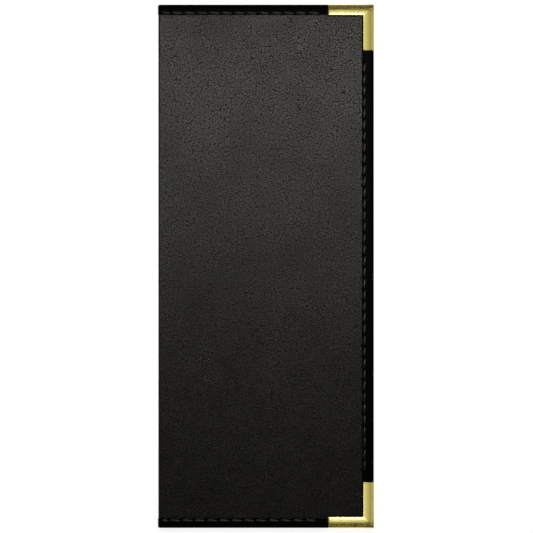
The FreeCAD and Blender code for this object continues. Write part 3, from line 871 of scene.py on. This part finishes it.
def pocket_film():
    """The clear sheet of the pocket, slightly bowed, with a sealed hem at its mouth."""
    bm = bmesh.new()
    thickness = FILM_HIGH.z - FILM_LOW.z
    hem = 2.2
    xs = [FILM_LOW.x, FILM_LOW.x + 0.15, FILM_LOW.x + hem - 0.2, FILM_LOW.x + hem, FILM_LOW.x + hem + 0.3]
    x = FILM_LOW.x + hem + 2.5
    while x < FILM_HIGH.x:
        xs.append(x)
        x += 3.0
    xs.append(FILM_HIGH.x)
    count = 96
    levels = [FILM_LOW.y + k * (FILM_HIGH.y - FILM_LOW.y) / count for k in range(count + 1)]
    outer = [(x, FILM_HIGH.z) for x in xs]
    inner = [(x, FILM_LOW.z) for x in reversed(xs)]
    rings = sweep(bm, outer + inner, [station(UP_Y * y, UP_X, UP_Z) for y in levels])
    for ring in rings:
        for index, vert in enumerate(ring):
            from_edge = min(WINDOW_HEAD - vert.co.y, vert.co.y - WINDOW_FOOT, WINDOW_FORE - vert.co.x)
            free = smoothstep(0, 30, from_edge) * smoothstep(90, -10, vert.co.x - FILM_LOW.x)
            ripple = 0.5 + 0.5 * noise_at(vert.co, 33)
            thick = index < len(xs) and FILM_LOW.x + 0.1 < vert.co.x < FILM_LOW.x + hem - 0.1
            vert.co.z += 0.42 * free * ripple + (0.06 if thick else 0)
            if thickness <= 0:
                raise RuntimeError("the film has no thickness")
    return bm


def corner_stations(side, low, high, width, lip):
    """Stations of a brass corner: along the head or foot, round the mitre, along the fore-edge."""
    sign = SIDES[side]
    edge = high.y if sign > 0 else low.y
    origin = Vector((high.x, edge, low.z))
    end_x, end_y = low.x, (low.y if sign > 0 else high.y)
    ratio = BRASS_FORE_WIDTH / width
    inward = -sign * UP_Y
    depth = high.z - low.z

    def shrunk(place, direction, amount):
        """A station drawn in a little all round, for the rounded lip at the end of a leg."""
        drawn = 1 - 2 * amount / depth
        spot = place + direction.normalized() * amount + UP_Z * amount
        return station(spot, direction * (1 - amount / width), UP_Z * drawn)

    along = [(0.0, lip), (0.08, lip * 0.45), (0.22, lip * 0.12), (0.45, 0.0)]
    leg = [shrunk(Vector((end_x + off, edge, low.z)), inward, drawn) for off, drawn in along]
    straight = station(Vector((high.x - width - 1.5, edge, low.z)), inward, UP_Z)
    mitre = station(origin, inward - UP_X * ratio, UP_Z)
    turned = station(Vector((high.x, edge - sign * (width + 1.5), low.z)), -UP_X * ratio, UP_Z)
    rest = [shrunk(Vector((high.x, end_y + sign * off, low.z)), -UP_X * ratio, drawn) for off, drawn in reversed(along)]
    return leg[:-1] + run(leg[-1], straight, 0.8)[:-1] + path(straight, mitre, turned, step=0.3)[:-1] + run(turned, rest[0], 0.8) + rest[1:]


BRASS_FORE_WIDTH = 6.0
HEAD_BRASS_WIDTH = 6.05
FOOT_BRASS_WIDTH = 6.4
DIMPLE_RADIUS = 1.5
DIMPLE_DEPTH = 0.24


def brass_corner(side):
    """A pressed brass corner with its mitre line and the star-shaped crimp near its point."""
    low, high, width = {
        "head": (BRASS_LOW, BRASS_HIGH, HEAD_BRASS_WIDTH),
        "foot": (FOOT_BRASS_LOW, FOOT_BRASS_HIGH, FOOT_BRASS_WIDTH),
    }[side]
    sign = SIDES[side]
    bm = bmesh.new()
    stations = corner_stations(side, low, high, width, 0.16)
    sweep(bm, brass_section(width, high.z - low.z), stations)
    layer = bm.verts.layers.float.new("tarnish_and_painted_reflection")
    edge = high.y if sign > 0 else low.y
    crimp = Vector((high.x - 2.1, edge - sign * 3.0, 0))
    for vert in bm.verts:
        flat = Vector((vert.co.x, vert.co.y, 0))
        away = flat - crimp
        turn = math.atan2(away.y, away.x)
        reach = DIMPLE_RADIUS * (0.7 + 0.3 * math.cos(4 * turn + 0.4))
        dent = (1 - min(1, away.length / reach)) ** 2
        facing = 1 if vert.co.z < low.z + 1.2 else -1 if vert.co.z > high.z - 1.2 else 0
        vert.co.z += facing * DIMPLE_DEPTH * dent
        inset_x, inset_y = high.x - vert.co.x, sign * (edge - vert.co.y)
        off_mitre = abs(inset_x / BRASS_FORE_WIDTH - inset_y / width) * width
        inside = max(inset_x, inset_y) < 7
        line = (1 - min(1, off_mitre / 0.45)) if inside else 0
        vert.co.z += facing * 0.03 * line
        # Painted dark reflection: a stripe along the outer half of the head or foot leg, and a line about two thirds of
        # the way out across the fore leg, get the dark brown patina colour in place of the dark room that the rolled
        # brass would mirror there.
        painted_dark_band = smoothstep(0.5, 1.3, inset_y) * smoothstep(3.6, 2.2, inset_y)
        painted_dark_streak = smoothstep(0.9, 1.5, inset_x) * smoothstep(2.6, 1.8, inset_x) * smoothstep(4, 9, inset_y)
        near = smoothstep(7, 2, max(inset_x, inset_y))
        # Real patina along the mitre and near the point, and below in the crimp, joins the painted dark reflection in
        # this mask.
        patina_and_painted_reflection = 0.45 * line * smoothstep(5.5, 1.5, inset_x) + 0.8 * painted_dark_band + 0.25 * painted_dark_streak + 0.5 * near
        vert[layer] = min(1, 2.5 * dent + patina_and_painted_reflection)
    return bm


UNDERLAY = 0.72


def corner_underlay(side):
    """A black strip on each face under a brass corner, reaching a little past it, which shows as a black line along its
    inner edge.
    """
    low, high, width = {
        "head": (BRASS_LOW, BRASS_HIGH, HEAD_BRASS_WIDTH),
        "foot": (FOOT_BRASS_LOW, FOOT_BRASS_HIGH, FOOT_BRASS_WIDTH),
    }[side]
    bm = bmesh.new()
    reach = width + UNDERLAY
    face = TAPE_LOW.z - low.z + 0.02
    section = [(4.2, face + 0.3), (reach, face + 0.3), (reach, face + 0.1), (reach - 0.1, face + 0.02), (reach - 0.3, face), (4.2, face)]
    depth = high.z - low.z
    inner = [(inward, depth - deep) for inward, deep in section]
    stations = corner_stations(side, low, high, width, 0.0)
    sweep(bm, section, stations)
    sweep(bm, inner, stations)
    return bm


def thread_mesh(bm, start, end, face, outward):
    """One stitch: a thread that rises from a needle hole, lies slanted along the furrow and dives again."""
    along = end - start
    side = outward.cross(along).normalized()
    slant = 0.3
    count = 8
    spots = []
    for k in range(count + 1):
        share = k / count
        sink = (2 * share - 1) ** 2
        lift = THREAD_HEIGHT * (0.62 - 1.4 * sink)
        spots.append(start + along * (0.035 + 0.93 * share) + side * slant * (share - 0.5) * 2 + outward * lift)
    section = [(math.cos(a) * THREAD_WIDTH / 2, math.sin(a) * THREAD_HEIGHT / 2) for a in (math.tau * k / 6 for k in range(6))]
    stations = []
    for k, spot in enumerate(spots):
        ahead = spots[min(count, k + 1)] - spots[max(0, k - 1)]
        across = ahead.cross(outward).normalized()
        up = across.cross(ahead).normalized()
        narrow = 0.55 + 0.45 * math.sin(math.pi * (0.08 + 0.84 * k / count))
        stations.append(station(spot + face, across * narrow, up))
    sweep(bm, section, stations)


def panel_threads():
    """Every stitch of the panel, outside and inside."""
    bm = bmesh.new()
    faces = ((UP_Z * (TAPE_LOW.z + 0.17), -UP_Z), (UP_Z * (TAPE_HIGH.z - 0.17), UP_Z))
    for holes in ROWS.values():
        for start, end in zip(holes, holes[1:]):
            for face, outward in faces:
                thread_mesh(bm, start, end, face, outward)
    return bm


def spine_threads():
    """The four stitches across the spine."""
    bm = bmesh.new()
    for y in (TAPE_HIGH.y - HEAD_STITCH["inset"], TAPE_LOW.y + FOOT_STITCH["inset"]):
        for x, outward, reach in (
            (SPINE_TAPE_LOW.x + 0.17, -UP_X, 2.3),
            (SPINE_TAPE_HIGH.x - 0.17, UP_X, 2.2),
        ):
            ends = [Vector((0, y, MIDDLE + sign * reach)) for sign in (-1, 1)]
            thread_mesh(bm, *ends, UP_X * x, outward)
    return bm


# Pieces


PANELS = ("back", "front")


def dressed(bm, panel, name, material):
    """The finished object of one panel's piece, mirrored for the front panel."""
    if panel == "front":
        across_middle(bm)
    piece = finished(bm, f"{panel}_{name}", material)
    return piece


def make_panel(panel):
    """All the shown pieces of one panel, and its half of the spine."""
    body = f"{panel}_panel"

    skin = dressed(outer_skin(), panel, "cover_skin", LEATHERETTE)
    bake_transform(skin)
    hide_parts(f"{panel}_leatherette", "spine_leatherette")

    tape = dressed(outer_tape(), panel, "edge_tape", TAPE)
    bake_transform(tape)
    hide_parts(f"{panel}_binding", "spine_head_binding", "spine_foot_binding")

    inside = dressed(inner_tape(), panel, "edge_tape_inside", TAPE)
    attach(inside, body)

    lining = dressed(panel_lining(), panel, "lining_cloth", LINING)
    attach(lining, body)
    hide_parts(f"{panel}_lining")

    groove = dressed(groove_lining(), panel, "groove_lining", LINING)
    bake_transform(groove)
    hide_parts("spine_lining")

    film = dressed(pocket_film(), panel, "pocket_film", FILM)
    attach(film, body)
    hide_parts(f"{panel}_pocket_sheet")

    threads = dressed(panel_threads(), panel, "threads", THREAD)
    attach(threads, body)
    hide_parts(f"{panel}_stitching")

    for side in SIDES:
        corner = dressed(brass_corner(side), panel, f"{side}_brass", BRASS)
        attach(corner, body)
        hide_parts(f"{panel}_{side}_corner")
        for pieces, state in ((ALL_BUT_BRASS, "EXCLUDE"), (ONLY_BRASS, "INCLUDE")):
            pieces.objects.link(corner)
            pieces.collection_objects[-1].light_linking.link_state = state
        underlay = dressed(corner_underlay(side), panel, f"{side}_underlay", TAPE)
        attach(underlay, body)


def make_spine_inside():
    """The tape and the stitches that stay with the spine board."""
    tape = finished(spine_inner_tape(), "spine_tape_inside", TAPE)
    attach(tape, "spine")
    threads = finished(spine_threads(), "spine_threads", THREAD)
    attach(threads, "spine")
    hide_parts("spine_stitching")


# The brass has lamps of its own, since it mirrors what the black pieces only take a sheen from
ALL_BUT_BRASS = bpy.data.collections.new("all_but_brass")
ONLY_BRASS = bpy.data.collections.new("only_brass")
for panel in PANELS:
    make_panel(panel)
make_spine_inside()
for board in ("back_board", "front_board", "spine_board"):
    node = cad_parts[board]
    node.data.materials.clear()
    node.data.materials.append(GREYBOARD)


# Floor, light and camera


def make_floor():
    """A plain white floor that keeps the cover's shadow."""
    bm = bmesh.new()
    bmesh.ops.create_circle(bm, cap_ends=True, radius=6000, segments=64)
    material, t, shader, _ = start_material("white_floor")
    shader.inputs["Base Color"].default_value = rgb(0.5, 0.5, 0.5)
    shader.inputs["Roughness"].default_value = 0.9
    shader.inputs["Specular IOR Level"].default_value = 0.0
    ray = t.add("ShaderNodeLightPath").outputs
    seen = t.math("MAXIMUM", ray["Is Camera Ray"], t.math("MAXIMUM", ray["Is Glossy Ray"], ray["Is Transmission Ray"]))
    t.feed(shader.inputs["Emission Strength"], t.math("MULTIPLY", seen, 0.85))
    shader.inputs["Emission Color"].default_value = rgb(1, 1, 1)
    floor = finished(bm, "floor", material)


def make_lamp(name, place, size, radiance, aim=None, spread=180):
    """A soft rectangular lamp, its power set so that its face has the given radiance. It shines
    straight down, or towards a point."""
    lamp = bpy.data.lights.new(name, "AREA")
    lamp.shape = "RECTANGLE"
    lamp.size, lamp.size_y = size
    lamp.energy = radiance * math.pi * size[0] * size[1]
    lamp.spread = math.radians(spread)
    made = bpy.data.objects.new(name, lamp)
    made.location = place
    if aim:
        made.rotation_euler = (Vector(aim) - Vector(place)).to_track_quat("-Z", "Y").to_euler()
    made.visible_camera = False
    bpy.context.scene.collection.objects.link(made)
    return made


def make_world():
    """A dim even room."""
    world = bpy.data.worlds.new("room")
    world.use_nodes = True
    background = world.node_tree.nodes["Background"]
    background.inputs["Color"].default_value = rgb(1, 1, 1)
    background.inputs["Strength"].default_value = 0.06
    bpy.context.scene.world = world


PHOTO_SCALE = 0.5584
PHOTO_SIDE = 533
CAMERA_LENS = 200
CAMERA_SENSOR = 36
CAMERA_AIM = (0.335, -0.126)


def make_camera():
    """A long lens straight above the cover, with the head of the cover at the top."""
    lens = bpy.data.cameras.new("camera")
    lens.lens, lens.sensor_width = CAMERA_LENS, CAMERA_SENSOR
    lens.clip_end = 20
    camera = bpy.data.objects.new("camera", lens)
    height = PHOTO_SCALE * PHOTO_SIDE * CAMERA_LENS / CAMERA_SENSOR + MIDDLE
    camera.location = Vector((*CAMERA_AIM, height)) * MM
    bpy.context.scene.collection.objects.link(camera)
    bpy.context.scene.camera = camera


# Lamps over the brass alone, each as (place, size, radiance): its flat tops mirror the first row of
# cards, its rolled edges the rest, down to the two low rims at the side of the room
HEAD_CARDS = [
    ((0.02, 0.187, 0.7), (0.24, 0.095), 0.75),
    ((0.165, 0.187, 0.7), (0.05, 0.3), 0.65),
    ((0.235, 0.187, 0.7), (0.09, 0.3), 0.47),
    ((0.33, 0.187, 0.7), (0.1, 0.3), 0.34),
    ((0.48, 0.187, 0.7), (0.2, 0.3), 0.22),
    ((0.69, 0.187, 0.7), (0.22, 0.3), 0.26),
    ((1.05, 0.187, 0.7), (0.5, 0.3), 0.51),
    ((0.065, 0.265, 0.7), (0.05, 0.06), 11.0),
    ((0.065, 0.348, 0.7), (0.1, 0.105), 0.85),
    ((0.065, 0.42, 0.7), (0.1, 0.04), 0.55),
    ((0.065, 0.47, 0.7), (0.1, 0.06), 0.25),
]
RIM_DISTANCE = 2.5
RIM_SIZE = (6.0, 0.7)


def make_lamps():
    """Key lamps over the head for all but the brass, and the cards and rims for the brass."""
    shared = [
        make_lamp("key", (0, 0.2, 0.62), (0.2, 0.14), 1.1, aim=(0, -0.045, 0), spread=60),
        make_lamp("key_left", (-0.23, 0.16, 0.62), (0.2, 0.14), 1.05, aim=(-0.02, 0.05, 0), spread=60),
        make_lamp("key_right", (0.23, 0.16, 0.62), (0.2, 0.14), 1.05, aim=(0.02, 0.05, 0), spread=60),
        make_lamp("foot_lamp", (0, -0.5, 0.3), (0.6, 0.1), 1.3, aim=(0, 0, 0)),
    ]
    for lamp in shared:
        lamp.data.color = (1.0, 0.98, 0.9)
        lamp.light_linking.receiver_collection = ALL_BUT_BRASS
    cards = [make_lamp("brass_fill", (0, 0, 0.75), (2.4, 3.0), 0.14)]
    for end, name in ((-1, "foot"), (1, "head")):
        for index, ((x, y, z), size, radiance) in enumerate(HEAD_CARDS):
            cards.append(make_lamp(f"card_{name}_{index}", (x, end * y, z), size, radiance))
        place = (0, end * RIM_DISTANCE, RIM_SIZE[1] / 2)
        cards.append(make_lamp(f"rim_{name}", place, RIM_SIZE, 0.75, aim=(0, 0, RIM_SIZE[1] / 2)))
    for end, name in ((-1, "left"), (1, "right")):
        place = (end * RIM_DISTANCE, 0, RIM_SIZE[1] / 2)
        cards.append(make_lamp(f"rim_{name}", place, RIM_SIZE, 0.48, aim=(0, 0, RIM_SIZE[1] / 2)))
    for card in cards:
        card.light_linking.receiver_collection = ONLY_BRASS


make_floor()
make_lamps()
make_world()
make_camera()
bpy.context.scene.view_settings.view_transform = "Standard"
